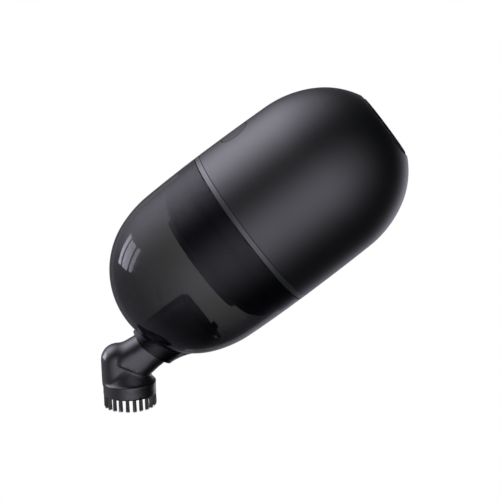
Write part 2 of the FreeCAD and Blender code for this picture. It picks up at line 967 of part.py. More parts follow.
def power_button():
    """Round button whose face follows the barrel, with a retaining flange."""
    collar_start = d.body_radius - d.body_wall / 2 - d.collar_depth
    flange_top = collar_start - d.button_gap
    cap = cylinder(
        "button_cap", d.button_radius, d.body_radius, flange_top, 0, d.button_height, ALONG_X
    )
    skin = base_half("button_limit", 0, 0, None)
    face = shared("button_face", [cap, skin])
    flange = cylinder(
        "button_flange",
        d.button_radius + d.button_flange,
        d.button_flange_height,
        flange_top - d.button_flange_height,
        0,
        d.button_height,
        ALONG_X,
    )
    return fused("power_button", [face, flange])


def charge_board():
    """Small board that carries the charging port."""
    half = d.port_board_width / 2
    top = d.port_height - d.port_thickness / 2
    front = port_front() + d.port_recess * 4
    return box(
        "charge_board",
        (front, -half, top - d.port_board_thickness),
        (front + d.port_board_length, half, top),
    )


def charge_port():
    """USB-C receptacle: a rounded metal sleeve with its tongue."""
    half_height = d.port_thickness / 2
    half_width = d.port_width / 2
    corner = half_height * 0.9
    sleeve = prism(
        "port_sleeve",
        rounded_rectangle(as_size(0), half_height, half_width, corner),
        as_size(0),
        d.port_length,
    )
    bore = prism(
        "port_bore",
        rounded_rectangle(
            as_size(0), half_height - d.port_wall, half_width - d.port_wall, corner - d.port_wall
        ),
        d.port_wall * 3,
        d.port_length,
    )
    tongue = prism(
        "port_tongue",
        rectangle(-d.port_wall, -(half_width * 0.75), d.port_wall, half_width * 0.75),
        d.port_wall,
        d.port_length * 0.85,
    )
    whole = fused("charge_port", [cut("port_shell", sleeve, [bore]), tongue])
    whole.Placement = Placement(Vector(), Rotation(Vector(0, -1, 0), 90))
    return move(whole, port_front() + d.port_length, 0, d.port_height)


def fan_housing():
    """Fan cup on the motor: floor, wall and side windows for the air."""
    inner = d.fan_radius - d.fan_wall
    body = turned(
        "fan_housing",
        [
            (d.motor_boss_radius + d.fit_gap, motor_top),
            (d.fan_radius, motor_top),
            (d.fan_radius, deck_low),
            (inner, deck_low),
            (inner, fan_floor_top),
            (d.motor_boss_radius + d.fit_gap, fan_floor_top),
        ],
    )
    taps = new_sketch(body, "XY_Plane", fan_floor_top)
    draw_circle(taps, 0, d.motor_screw_circle, d.screw_radius)
    draw_circle(taps, 0, -d.motor_screw_circle, d.screw_radius)
    pocket(body, taps, d.fan_floor)
    for role in ("XZ_Plane", "YZ_Plane"):
        window = new_sketch(body, role)
        low = fan_floor_top + d.fan_floor
        half = d.window_width / 2
        draw_outline(window, rectangle(-half, low, half, low + d.window_height))
        pocket(body, window, d.fan_radius * 2 + d.fan_wall, both_ways=True)
    return body


def impeller():
    """Centrifugal impeller with backward-curved blades."""
    low = fan_floor_top + d.impeller_lift
    plate_top = low + d.impeller_plate
    top = plate_top + d.blade_height
    body = turned(
        "impeller",
        [
            (d.shaft_radius, low),
            (d.impeller_radius, low),
            (d.impeller_radius, plate_top),
            (d.impeller_hub, plate_top),
            (d.impeller_hub * 0.8, top),
            (d.shaft_radius, top),
        ],
    )
    sketch = new_sketch(body, "XY_Plane", plate_top - d.impeller_plate / 4)
    tip = d.impeller_radius - d.fit_gap
    heel = tip - d.blade_thickness
    draw_outline(
        sketch,
        [
            (d.blade_root, 0),
            (tip * cosine(d.blade_sweep), tip * sine(d.blade_sweep), d.blade_curve),
            (heel * cosine(d.blade_sweep), heel * sine(d.blade_sweep)),
            (d.blade_root - d.blade_thickness, 0, d.blade_curve - d.blade_thickness, RIGHT),
        ],
    )
    around(body, pad(body, sketch, d.blade_height), d.blade_count)
    return body


def motor_shaft():
    """Steel shaft that carries the impeller."""
    low = motor_top + d.motor_boss_height - d.shaft_depth - d.motor_boss_height / 2
    top = fan_floor_top + d.impeller_lift + d.impeller_plate + d.blade_height
    return cylinder("motor_shaft", d.shaft_radius, top - low, up=low)


def filter_deck():
    """Plate over the fan: intake spokes, filter ledge and the socket ring for the cup."""
    body = turned(
        "filter_deck",
        [
            (d.intake_radius, deck_low),
            (body_bore - d.slide_gap, deck_low),
            (body_bore - d.slide_gap, shell_top),
            (socket_outer, shell_top),
            (socket_outer, socket_top),
            (socket_inner, socket_top),
            (socket_inner, ledge),
            (socket_inner - d.ledge_width, ledge),
            (socket_inner - d.ledge_width, deck_top),
            (d.intake_radius, deck_top),
        ],
    )
    spoke = new_sketch(body, "XY_Plane", deck_low + d.deck_plate / 2)
    half = d.spoke_width / 2
    reach = d.intake_radius + half
    draw_outline(spoke, rectangle(-reach, -half, reach, half))
    around(body, pad(body, spoke, d.deck_plate / 2), d.spoke_count)
    hole = new_sketch(body, "XY_Plane", deck_top)
    for across, deep, _ in screw_spots(d.screw_circle, int(d.screw_count.number)):
        draw_circle(hole, across, deep, d.screw_radius + d.fit_gap)
    pocket(body, hole, d.deck_plate)
    return body


def cup_seal():
    """Rubber ring that caps the socket and seals the cup."""
    lip = socket_outer + d.seal_lip
    return turned(
        "cup_seal",
        [
            (socket_inner, socket_top),
            (socket_outer, socket_top),
            (lip, socket_top + d.seal_height / 2),
            (socket_outer, seal_top),
            (socket_inner, seal_top),
        ],
    )


# ---------------------------------------------------------------- filter unit


def filter_holder():
    """Dark bowl over the filter: collar, round shoulder and the lip of the screen."""
    lip_bore = d.filter_top_radius - d.filter_lip_wall
    throat = lip_bore - d.screen_ledge
    inner_arc = d.filter_shoulder_radius - d.filter_wall
    return turned(
        "filter_holder",
        [
            (filter_bore, holder_low),
            (filter_radius, holder_low),
            (filter_radius, collar_top),
            (d.filter_top_radius, filter_lip_low, d.filter_shoulder_radius),
            (d.filter_top_radius, filter_top),
            (lip_bore, filter_top),
            (lip_bore, filter_lip_low),
            (throat, filter_lip_low),
            (throat, filter_lip_low - d.filter_lip_wall),
            (filter_bore, collar_top - d.filter_lip_wall / 2, inner_arc, RIGHT),
        ],
    )


def filter_screen():
    """Coarse screen in the bowl's mouth, with radial slots."""
    radius = d.filter_top_radius - d.filter_lip_wall - d.pin_gap
    body = new_body("filter_screen")
    plate = new_sketch(body, "XY_Plane", filter_lip_low)
    draw_circle(plate, 0, 0, radius)
    pad(body, plate, d.screen_thickness)
    slot = new_sketch(body, "XY_Plane", filter_lip_low + d.screen_thickness)
    half = d.screen_slot_width / 2
    finish = radius - d.screen_ledge - half
    draw_outline(slot, rectangle(d.screen_slot_width * 3, -half, finish, half))
    around(body, pocket(body, slot, d.screen_thickness), d.screen_slot_count)
    return body


def filter_pleats():
    """Pleated paper filter around its hollow core."""
    body = turned(
        "filter_pleats",
        rectangle(d.pleat_core, filter_base_top, d.pleat_radius, pleat_top),
    )
    groove = new_sketch(body, "XY_Plane", pleat_top)
    half = d.pleat_radius * sine(as_size(FULL_TURN) / d.pleat_count / 2) * 0.8
    outside = d.pleat_radius + d.filter_wall
    draw_outline(groove, [(d.pleat_root, 0), (outside, -half), (outside, half)])
    around(body, pocket(body, groove, d.pleat_height), d.pleat_count)
    return body


def filter_top_cap():
    """Disc that closes the pleats at the top."""
    radius = d.pleat_radius + d.end_cap_overhang
    return cylinder("filter_top_cap", radius, d.end_cap_thickness, up=pleat_top)


def filter_base():
    """Ring that closes the bowl below and leaves the core open."""
    return turned(
        "filter_base",
        rectangle(d.pleat_core, holder_low, filter_bore - d.pin_gap, filter_base_top),
    )


def filter_gasket():
    """Rubber gasket between the bowl and the deck's ledge."""
    return turned(
        "filter_gasket",
        rectangle(socket_inner - d.ledge_width, filter_low, filter_radius, holder_low),
    )


# ---------------------------------------------------------------- dust cup


def tube_bar(label, growth, low, high):
    """A straight bar with the nozzle tube's section, grown or shrunk all round."""
    corners = rounded_rectangle(
        -d.inlet_offset,
        d.tube_half_width + growth,
        d.tube_half_depth + growth,
        d.tube_corner + growth,
    )
    return prism(label, corners, low, high)


def rim_trim(label):
    """The space above the snout's slanting rim."""
    side = d.snout_radius * 4
    trim = document.addObject("Part::Box", label)
    bind(trim, "Length", side)
    bind(trim, "Width", side)
    bind(trim, "Height", side)
    trim.Placement = Placement(Vector(), Rotation(Vector(0, -1, 0), 16))
    bind(trim, "Placement.Rotation.Angle", d.snout_tilt)
    lean = side / 2 * cosine(d.snout_tilt)
    fall = side / 2 * sine(d.snout_tilt)
    return move(trim, -d.inlet_offset - lean, -(side / 2), d.snout_height - fall)


def snout_flare():
    """Collar of the inlet, flared where it runs into the dome and cut aslant at its rim."""
    body = turned(
        "snout_flare_turn",
        [
            (0, d.flare_low),
            (d.flare_radius, d.flare_low),
            (d.snout_radius, d.flare_top, d.flare_curve, RIGHT),
            (d.snout_radius, d.snout_top),
            (0, d.snout_top),
        ],
    )
    move(body, across=-d.inlet_offset)
    return cut("snout_flare", body, [rim_trim("snout_trim")])


def snout_core(label, gap):
    """A round bar on the inlet's axis that leaves the snout's wall and a gap."""
    radius = d.snout_radius - d.snout_wall - gap
    return cylinder(label, radius, d.snout_top - d.duct_low, -d.inlet_offset, 0, d.duct_low)


def dust_cup():
    """Smoked clear cup: thin dome, rabbet over the socket ring, inlet snout."""
    outer = cup_half("cup_outer", 0, cup_low - d.seam_height)
    inner = cup_half("cup_inner", d.cup_wall, 0)
    skin = fused("cup_skin", [outer, snout_flare()])
    depth = seal_top + d.rabbet_spare - cup_low
    rabbet = cylinder("cup_rabbet", rabbet_radius, depth, up=cup_low)
    return cut("dust_cup", skin, [inner, rabbet, snout_core("cup_bore", 0)])


def duct_bar(label, low, high):
    """A straight bar with the duct's outer section."""
    middle = -((d.duct_inner_edge + d.duct_outer_edge) / 2)
    half = (d.duct_outer_edge - d.duct_inner_edge) / 2
    return prism(
        label, rounded_rectangle(middle, half, d.duct_half_depth, d.duct_corner), low, high
    )


def inlet_duct():
    """Black duct that holds the nozzle tube, follows the dome and lines the snout."""
    limit = cup_half("duct_limit", d.cup_wall + d.pin_gap, 0)
    block = shared("duct_block", [duct_bar("duct_bar", d.duct_low, d.elbow_height), limit])
    bore = tube_bar("duct_bore", d.tube_gap, d.duct_low, d.elbow_height)
    solid = fused("duct_solid", [block, snout_core("duct_collar", d.pin_gap)])
    return cut("inlet_duct", solid, [bore, rim_trim("collar_trim")])


def valve_frame():
    """Frame at the duct's inner end: valve seat and two hinge lugs."""
    limit = cup_half("frame_limit", d.cup_wall + d.pin_gap, 0)
    block = shared("frame_block", [duct_bar("frame_bar", valve_low, d.duct_low), limit])
    seat_top = valve_low + d.valve_seat
    bore = tube_bar("frame_bore", d.tube_gap, seat_top, d.duct_low)
    opening = cylinder(
        "frame_opening", d.valve_opening, d.valve_seat, -d.inlet_offset, 0, valve_low
    )
    ring = cut("frame_ring", block, [bore, opening])
    lugs = []
    inner = d.knuckle_half + d.flap_gap
    outer = inner + d.lug_thickness
    for side in (-1, 1):
        low, high = (inner, outer) if side > 0 else (-outer, -inner)
        lugs.append(
            box(
                "hinge_lug",
                (-(d.hinge_offset + d.lug_half_width), low, flap_low - d.lug_half_width),
                (d.lug_half_width - d.hinge_offset, high, valve_low),
            )
        )
    pin = hinge_cylinder("lug_bore", d.hinge_radius, outer)
    return cut("valve_frame", fused("frame_raw", [ring, *lugs]), [pin])


def hinge_cylinder(label, radius, half_length):
    """A cylinder on the flap's hinge axis."""
    return cylinder(
        label, radius, half_length * 2, -d.hinge_offset, -half_length, flap_low, ALONG_Y
    )


def flap_pin():
    """Hinge pin of the inlet flap."""
    half = d.knuckle_half + d.flap_gap + d.lug_thickness
    return hinge_cylinder("flap_pin", d.hinge_radius, half)


def inlet_flap():
    """Flap that keeps the dust in: plate, neck and knuckle."""
    middle = -((d.flap_tip + d.flap_root) / 2)
    half = (d.flap_root - d.flap_tip) / 2
    corners = rounded_rectangle(middle, half, d.flap_half_width, d.flap_corner)
    plate = prism("flap_plate", corners, flap_low, flap_top)
    neck = box(
        "flap_neck",
        (-d.hinge_offset, -d.knuckle_half, flap_low),
        (d.flap_corner - d.flap_root, d.knuckle_half, flap_top),
    )
    knuckle = hinge_cylinder("flap_knuckle", d.knuckle_radius, d.knuckle_half)
    bore = hinge_cylinder("flap_bore", d.hinge_radius + d.pin_gap, d.knuckle_half)
    return cut("inlet_flap", fused("flap_raw", [plate, neck, knuckle]), [bore])


# ---------------------------------------------------------------- brush nozzle


def tilt_to_brush(item):
    """Turn an object drawn along Z onto the brush axis, with its origin at the elbow."""
    item.Placement = Placement(Vector(), Rotation(Vector(0, -1, 0), 55))
    bind(item, "Placement.Rotation.Angle", d.brush_tilt)
    return move(item, -d.inlet_offset, 0, d.elbow_height)


def head_side(label, inset, bottom):
    """The head's outline seen from the side, wide across Y, with a rounded back corner."""
    back = d.head_radius - inset
    front = d.head_front - inset
    top = inset - d.head_rise
    corner = d.head_back_round - inset
    body = new_body(label)
    sketch = new_sketch(body, "XZ_Plane", -d.head_radius)
    draw_outline(
        sketch,
        [
            (back, bottom),
            (back, top + corner),
            (back - corner, top, corner, RIGHT),
            (-front, top),
            (-front, bottom),
        ],
    )
    pad(body, sketch, d.head_radius * 2)
    return body


def head_cheek(label, inset, bottom):
    """The upright block behind the tube's end, from the head's back to its front edge."""
    back = d.head_radius - inset
    front = d.cheek_front + inset
    corners = rounded_rectangle(
        (back + front) / 2,
        (back - front) / 2,
        d.head_half_depth - inset,
        d.cheek_corner - inset,
    )
    column = prism(label + "_column", corners, inset - d.head_rise, bottom)
    return shared(label, [column, head_side(label + "_side", inset, bottom)])


def nozzle_body():
    """Bent suction nozzle: straight tube, hood and the spigot of the brush ring."""
    tube_top = d.elbow_height - d.tube_wall * 1.5
    tube = tube_bar("tube_outer", as_size(0), d.tube_low, tube_top)
    elbow_bar = tube_bar(
        "elbow_bar", as_size(0), tube_top - d.tube_wall, d.elbow_height + d.head_front
    )
    elbow_side = tilt_to_brush(head_side("elbow_side", as_size(0), d.ring_start))
    elbow = shared("elbow", [elbow_bar, elbow_side])
    groove_low = d.seal_groove_height - d.seal_thickness / 2
    groove_high = d.seal_groove_height + d.seal_thickness / 2
    band = tube_bar("groove_band", d.tube_wall, groove_low, groove_high)
    core = tube_bar("groove_core", -d.seal_groove_depth, groove_low, groove_high)
    groove = cut("tube_groove", band, [core])
    block = tilt_to_brush(head_cheek("head_cheek", as_size(0), d.ring_start))
    cone = document.addObject("Part::Cone", "hood_cone")
    bind(cone, "Radius1", d.head_half_depth)
    bind(cone, "Radius2", d.head_radius)
    bind(cone, "Height", d.hood_rise)
    hood = tilt_to_brush(group("hood", [move(cone, up=d.ring_start - d.hood_rise)]))
    spigot_radius = d.head_radius - d.ring_wall - d.fit_gap
    spigot_height = ring_end - d.ring_chamfer - d.fit_gap
    spigot = tilt_to_brush(cylinder("spigot", spigot_radius, spigot_height))
    bore = tube_bar("tube_bore", -d.tube_wall, d.tube_low, d.elbow_height)
    room = tilt_to_brush(head_cheek("head_room", d.tube_wall, d.ring_start - d.tube_wall))
    mouth = tilt_to_brush(cylinder("mouth", spigot_radius - d.spigot_wall, ring_end))
    solid = fused("nozzle_solid", [tube, elbow, block, hood, spigot])
    return cut("nozzle_body", solid, [groove, bore, room, mouth])


def nozzle_seal():
    """Rubber band in the tube's groove."""
    low = d.seal_groove_height - d.seal_thickness / 2
    high = d.seal_groove_height + d.seal_thickness / 2
    band = tube_bar("seal_band", d.slide_gap, low, high)
    core = tube_bar("seal_core", -d.seal_groove_depth, low, high)
    return cut("nozzle_seal", band, [core])


def brush_ring():
    """Ring that carries the bristle tufts, pushed onto the hood's spigot."""
    start = d.ring_start + d.pin_gap
    inner = d.head_radius - d.ring_wall
    body = turned(
        "brush_ring",
        [
            (inner, start),
            (d.head_radius, start),
            (d.head_radius, ring_end - d.ring_chamfer),
            (d.head_radius - d.ring_chamfer, ring_end),
            (inner, ring_end),
        ],
    )
    sketch = new_sketch(body, "XY_Plane", ring_end)
    draw_circle(sketch, d.tuft_circle, 0, d.tuft_radius)
    around(body, pocket(body, sketch, d.tuft_depth), d.tuft_count)
    return tilt_to_brush(body)


def bristle_tufts():
    """Tufts of bristles in the ring's holes."""
    tufts = []
    count = int(d.tuft_count.number)
    low = ring_end - d.tuft_depth
    for index in range(count):
        angle = as_size(index * FULL_TURN / count)
        across = d.tuft_circle * cosine(angle)
        deep = d.tuft_circle * sine(angle)
        length = d.tuft_depth + d.tuft_length
        tufts.append(cylinder("tuft", d.tuft_radius, length, across, deep, low))
    return tilt_to_brush(group("bristle_tufts", tufts))


# ---------------------------------------------------------------- build and export

SUB_PARTS = [
    body_shell,
    trim_ring,
    base_cap,
    foot_pads,
    exhaust_filter,
    chassis,
    motor,
    motor_screws,
    deck_screws,
    battery,
    main_board,
    power_switch,
    power_button,
    charge_board,
    charge_port,
    fan_housing,
    impeller,
    motor_shaft,
    filter_deck,
    cup_seal,
    filter_holder,
    filter_screen,
    filter_pleats,
    filter_top_cap,
    filter_base,
    filter_gasket,
    dust_cup,
    inlet_duct,
    valve_frame,
    flap_pin,
    inlet_flap,
    nozzle_body,
    nozzle_seal,
    brush_ring,
    bristle_tufts,
]


def check(parts):
    """Stop where any object failed or a sub-part has no valid shape."""
    for item in document.Objects:
        if "Invalid" in item.State or "Error" in item.State:
            raise RuntimeError(f"{item.Label} failed: {item.State}")
    for part in parts:
        if part.Shape.isNull() or not part.Shape.isValid():
            raise RuntimeError(f"{part.Label} has no valid shape")


def main():
    """Build every sub-part, check it and write its STEP file."""
    parts = []
    for build in SUB_PARTS:
        part = build()
        part.Label = build.__name__
        parts.append(part)
    document.recompute()
    check(parts)
    os.makedirs("parts", exist_ok=True)
    for part in parts:
        part.Shape.exportStep(os.path.join("parts", part.Label + ".step"))
        solids = len(part.Shape.Solids)
        print(f"{part.Label}: {solids} solid(s), {part.Shape.Volume:.1f} mm3")


main()
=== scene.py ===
"""Looks of the desktop mini vacuum cleaner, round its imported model. Metres, +Z up."""

import math
from types import SimpleNamespace

import bpy
from mathutils import Matrix, Vector


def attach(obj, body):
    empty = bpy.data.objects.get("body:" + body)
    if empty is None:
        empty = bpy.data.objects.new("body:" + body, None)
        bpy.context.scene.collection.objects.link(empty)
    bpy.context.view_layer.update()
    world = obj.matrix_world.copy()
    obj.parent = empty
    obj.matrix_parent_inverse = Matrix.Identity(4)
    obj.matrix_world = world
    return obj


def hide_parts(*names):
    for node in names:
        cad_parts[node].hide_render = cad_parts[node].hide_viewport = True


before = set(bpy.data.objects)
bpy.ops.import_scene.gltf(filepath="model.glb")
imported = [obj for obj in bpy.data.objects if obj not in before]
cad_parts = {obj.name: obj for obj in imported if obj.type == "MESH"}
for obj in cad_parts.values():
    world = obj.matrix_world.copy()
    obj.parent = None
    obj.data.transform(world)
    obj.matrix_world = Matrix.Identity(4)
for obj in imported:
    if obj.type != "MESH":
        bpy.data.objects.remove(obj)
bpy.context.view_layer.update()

MM = 0.001

# ---------------------------------------------------------------- camera

CAMERA_AZIMUTH = math.radians(15.0)
CAMERA_ELEVATION = -6.0
CAMERA_ROLL = math.radians(126.8)
CAMERA_DISTANCE = 0.9625
CAMERA_LENS = 201.6
CAMERA_CLIP = 0.01
AIM_HEIGHT = 0.059
AIM_RIGHT = 0.000756
AIM_UP = -0.00732


def from_camera(turn, elevation):
    """Unit vector, some degrees round from the camera towards the button and some up."""
    azimuth = CAMERA_AZIMUTH + math.radians(turn)
    rise = math.radians(elevation)
    x = math.sin(azimuth) * math.cos(rise)
    y = -math.cos(azimuth) * math.cos(rise)
    return Vector((x, y, math.sin(rise)))


def make_camera():
    """Long lens just below the rest plane, rolled so that the capsule lies aslant."""
    back = from_camera(0, CAMERA_ELEVATION)
    level_right = Vector((math.cos(CAMERA_AZIMUTH), math.sin(CAMERA_AZIMUTH), 0))
    level_up = back.cross(level_right)
    right = level_right * math.cos(CAMERA_ROLL) - level_up * math.sin(CAMERA_ROLL)
    up = level_right * math.sin(CAMERA_ROLL) + level_up * math.cos(CAMERA_ROLL)
    aim = Vector((0, 0, AIM_HEIGHT)) + right * AIM_RIGHT + up * AIM_UP
    data = bpy.data.cameras.new("camera")
    data.lens = CAMERA_LENS
    data.clip_start = CAMERA_CLIP
    camera = bpy.data.objects.new("camera", data)
    turn = Matrix((right, up, back)).transposed().to_4x4()
    camera.matrix_world = Matrix.Translation(aim + back * CAMERA_DISTANCE) @ turn
    bpy.context.collection.objects.link(camera)
    bpy.context.scene.camera = camera


make_camera()

# ---------------------------------------------------------------- node tools


class Signal:
    """A node's output that can be written in arithmetic."""

    def __init__(self, recipe, socket):
        self.recipe = recipe
        self.socket = socket

    def maths(self, operation, *others):
        """A Math node on this signal and up to two more signals or numbers."""
        values = dict(enumerate((self, *others)))
        return self.recipe.add("ShaderNodeMath", {"operation": operation}, values)

    def __add__(self, other):
        return self.maths("ADD", other)

    __radd__ = __add__

    def __mul__(self, other):
        return self.maths("MULTIPLY", other)

    __rmul__ = __mul__

    def __neg__(self):
        return self * -1

    def __sub__(self, other):
        return self.maths("SUBTRACT", other)

    def __rsub__(self, other):
        return -self + other

    def __pow__(self, other):
        return self.maths("POWER", other)

    def magnitude(self):
        return self.maths("ABSOLUTE")

    def larger(self, other):
        return self.maths("MAXIMUM", other)

    def smaller(self, other):
        return self.maths("MINIMUM", other)

    def clamp(self):
        return self.larger(0).smaller(1)

    def between(self, low, high):
        """Low where this signal is 0, high where it is 1."""
        return self * (high - low) + low

    def melt(self, other, width):
        """The smaller of two distances, with a soft fillet where they meet."""
        return self.maths("SMOOTH_MIN", other, width)

    def soften(self, other, width):
        """The larger of two distances, with a soft round where they meet."""
        return self.maths("SMOOTH_MAX", other, width)


class Recipe:
    """The node tree of a material, of the world or of a grown shape."""

    def __init__(self, tree):
        self.tree = tree
        tree.nodes.clear()

    def add(self, kind, settings=None, inputs=None, output=0):
        """Add a node, set it up, feed its inputs and give its output as a Signal."""
        node = self.tree.nodes.new(kind)
        for name, value in (settings or {}).items():
            if name == "stops":
                self.set_stops(node.color_ramp, value)
            else:
                setattr(node, name, value)
        for name, value in (inputs or {}).items():
            socket = node.inputs[name]
            if isinstance(value, Signal):
                self.tree.links.new(value.socket, socket)
            else:
                socket.default_value = value
        return Signal(self, node.outputs[output]) if len(node.outputs) else None

    @staticmethod
    def set_stops(ramp, stops):
        """Give a colour ramp its (position, level) stops."""
        while len(ramp.elements) < len(stops):
            ramp.elements.new(1.0)
        for element, (position, level) in zip(ramp.elements, stops):
            element.position = position
            element.color = (level, level, level, 1)

    def place(self):
        """Object coordinates in metres."""
        return self.add("ShaderNodeTexCoord", output="Object")

    def split(self, vector):
        """The three components of a vector."""
        kind = "ShaderNodeSeparateXYZ"
        return [self.add(kind, {}, {0: vector}, axis) for axis in range(3)]

    def noise(self, spot, detail=2.0, roughness=0.5, vector=None):
        """Noise whose spots are about that many metres across."""
        inputs = {
            "Vector": vector or self.place(),
            "Scale": 1.0 / spot,
            "Detail": detail,
            "Roughness": roughness,
        }
        return self.add("ShaderNodeTexNoise", {}, inputs)

    def ramp(self, value, *stops):
        """A grey ramp through (position, level) stops."""
        return self.add("ShaderNodeValToRGB", {"stops": stops}, {"Fac": value})

    def blend(self, factor, first, second):
        """A colour between two colours."""
        colours = {"Factor": factor, 6: first, 7: second}
        return self.add("ShaderNodeMix", {"data_type": "RGBA"}, colours, output=2)

    def bump(self, height, depth):
        """A normal from a height between 0 and 1 and its depth in metres."""
        inputs = {"Height": height, "Distance": depth, "Strength": 1.0}
        return self.add("ShaderNodeBump", {}, inputs)

    def surface(self, **inputs):
        """Principled shader on the material's output."""
        named = {name.replace("_", " "): value for name, value in inputs.items()}
        shader = self.add("ShaderNodeBsdfPrincipled", {}, named)
        self.add("ShaderNodeOutputMaterial", {}, {"Surface": shader})


def new_material(name):
    """A material with an empty node tree, and the recipe that fills it."""
    material = bpy.data.materials.new(name)
    material.use_nodes = True
    return material, Recipe(material.node_tree)


def add_mesh(name, spots, faces, material):
    """An object with a mesh of its own, in the scene."""
    mesh = bpy.data.meshes.new(name)
    mesh.from_pydata(spots, [], faces)
    mesh.materials.append(material)
    thing = bpy.data.objects.new(name, mesh)
    bpy.context.collection.objects.link(thing)
    return thing


def grey(level, warmth=0.0):
    """A grey colour, a little warm or cool."""
    return (level * (1 + warmth), level, level * (1 - warmth), 1.0)


# ---------------------------------------------------------------- finishes

FINISHES = {}

COOL = -0.12
FLOW_SPOT = 14 * MM
FLOW_TONE = 0.12
FLOW_GLOSS = 0.05
SCUFF_SPOT = 4 * MM
SCUFF_GLOSS = 0.04

# share that the cup's skin hides face on, and what its outline, haze and crown add
SMOKE = 0.56
SMOKE_AT_EDGE = 0.45
SMOKE_HAZE = 0.03
SMOKE_PER_METRE = 3.4
CROWN_HEIGHT = 84 * MM
SMOKE_DARK = (0.0012, 0.0011, 0.0019, 1)
SMOKE_LIGHT = (0.002, 0.0018, 0.003, 1)


def finish(draw):
    """Decorator: the function draws the finish that has its name, once."""
    material, recipe = new_material(draw.__name__)
    draw(recipe)
    FINISHES[draw.__name__] = material
    return draw


def moulded(recipe, level, gloss, grain, depth, specular=0.5, tint=COOL):
    """Moulded plastic: faint flow marks in the tone, fine grain, a few soft scuffs."""
    flow = recipe.noise(FLOW_SPOT, detail=3.0)
    speck = recipe.noise(grain)
    scuff = recipe.noise(SCUFF_SPOT, detail=6.0, roughness=0.7)
    worn = recipe.ramp(scuff, (0.55, 0.0), (0.72, 1.0))
    darker = grey(level * (1 - FLOW_TONE), tint)
    lighter = grey(level * (1 + FLOW_TONE), tint)
    recipe.surface(
        Base_Color=recipe.blend(flow, darker, lighter),
        Roughness=(flow - 0.5) * FLOW_GLOSS + worn * SCUFF_GLOSS + gloss,
        Normal=recipe.bump(speck, depth),
        Specular_IOR_Level=specular,
    )


@finish
def satin_shell(recipe):
    moulded(recipe, level=0.003, gloss=0.31, grain=0.16 * MM, depth=0.0016 * MM)


@finish
def trim_satin(recipe):
    moulded(
        recipe, level=0.012, gloss=0.3, grain=0.12 * MM, depth=0.002 * MM, specular=0.6
    )


@finish
def button_satin(recipe):
    moulded(
        recipe, level=0.003, gloss=0.44, grain=0.16 * MM, depth=0.0016 * MM, specular=0.36
    )


@finish
def nozzle_satin(recipe):
    moulded(recipe, level=0.004, gloss=0.21, grain=0.2 * MM, depth=0.001 * MM)


@finish
def filter_dark(recipe):
    moulded(recipe, level=0.003, gloss=0.3, grain=0.2 * MM, depth=0.0008 * MM)


@finish
def duct_black(recipe):
    moulded(
        recipe, level=0.002, gloss=0.24, grain=0.25 * MM, depth=0.0006 * MM, specular=0.3
    )


@finish
def inner_black(recipe):
    moulded(recipe, level=0.008, gloss=0.5, grain=0.3 * MM, depth=0.008 * MM)


@finish
def impeller_white(recipe):
    moulded(recipe, level=0.6, gloss=0.38, grain=0.3 * MM, depth=0.004 * MM, tint=0.02)


@finish
def smoked_clear(recipe):
    haze = recipe.noise(9 * MM, detail=4.0)
    smudge = recipe.noise(3 * MM, detail=5.0, roughness=0.65)
    smear = recipe.ramp(smudge, (0.52, 0.0), (0.75, 1.0))
    edge = recipe.add("ShaderNodeLayerWeight", {}, {"Blend": 0.5}, "Facing")
    crown = (recipe.split(recipe.place())[2] - CROWN_HEIGHT).larger(0)
    film = (haze - 0.5) * SMOKE_HAZE + edge**2 * SMOKE_AT_EDGE
    recipe.surface(
        Base_Color=recipe.blend(haze, SMOKE_DARK, SMOKE_LIGHT),
        Roughness=smear.between(0.025, 0.065),
        Alpha=film + crown * SMOKE_PER_METRE + SMOKE,
        IOR=1.5,
        Specular_IOR_Level=0.19,
    )


@finish
def rubber(recipe):
    dust = recipe.noise(0.6 * MM, detail=4.0)
    recipe.surface(
        Base_Color=recipe.blend(dust, grey(0.003), grey(0.008)),
        Roughness=dust.between(0.6, 0.75),
        Normal=recipe.bump(dust, depth=0.02 * MM),
        Specular_IOR_Level=0.2,
    )


@finish
def foam(recipe):
    inputs = {"Vector": recipe.place(), "Scale": 1 / (0.7 * MM)}
    cells = recipe.add("ShaderNodeTexVoronoi", {"feature": "F1"}, inputs)
    recipe.surface(
        Base_Color=recipe.blend(cells, grey(0.02), grey(0.12)),
        Roughness=0.9,
        Normal=recipe.bump(cells, depth=0.25 * MM),
    )


@finish
def filter_paper(recipe):
    fibre = recipe.noise(0.35 * MM, detail=5.0, roughness=0.7)
    stain = recipe.noise(6 * MM, detail=3.0)
    recipe.surface(
        Base_Color=recipe.blend(stain, grey(0.62, 0.03), grey(0.74, 0.015)),
        Roughness=0.85,
        Normal=recipe.bump(fibre, depth=0.05 * MM),
    )


def metal(recipe, level, gloss, streak, stretch):
    """Bare metal with marks drawn out along Z."""
    inputs = {"Vector": recipe.place(), "Scale": (1, 1, stretch)}
    drawn = recipe.add("ShaderNodeMapping", {}, inputs)
    marks = recipe.noise(streak, detail=3.0, roughness=0.6, vector=drawn)
    recipe.surface(
        Base_Color=recipe.blend(marks, grey(level * 0.85), grey(level * 1.1)),
        Metallic=1.0,
        Roughness=marks.between(gloss, gloss + 0.15),
        Normal=recipe.bump(marks, depth=0.004 * MM),
    )


@finish
def zinc_steel(recipe):
    metal(recipe, level=0.52, gloss=0.26, streak=0.5 * MM, stretch=1.0)


@finish
def ground_steel(recipe):
    metal(recipe, level=0.62, gloss=0.14, streak=0.08 * MM, stretch=0.05)


@finish
def battery_wrap(recipe):
    film = recipe.noise(5 * MM, detail=4.0)
    recipe.surface(
        Base_Color=recipe.blend(film, (0.01, 0.06, 0.25, 1), (0.02, 0.1, 0.36, 1)),
        Roughness=0.28,
        Normal=recipe.bump(film, depth=0.1 * MM),
    )


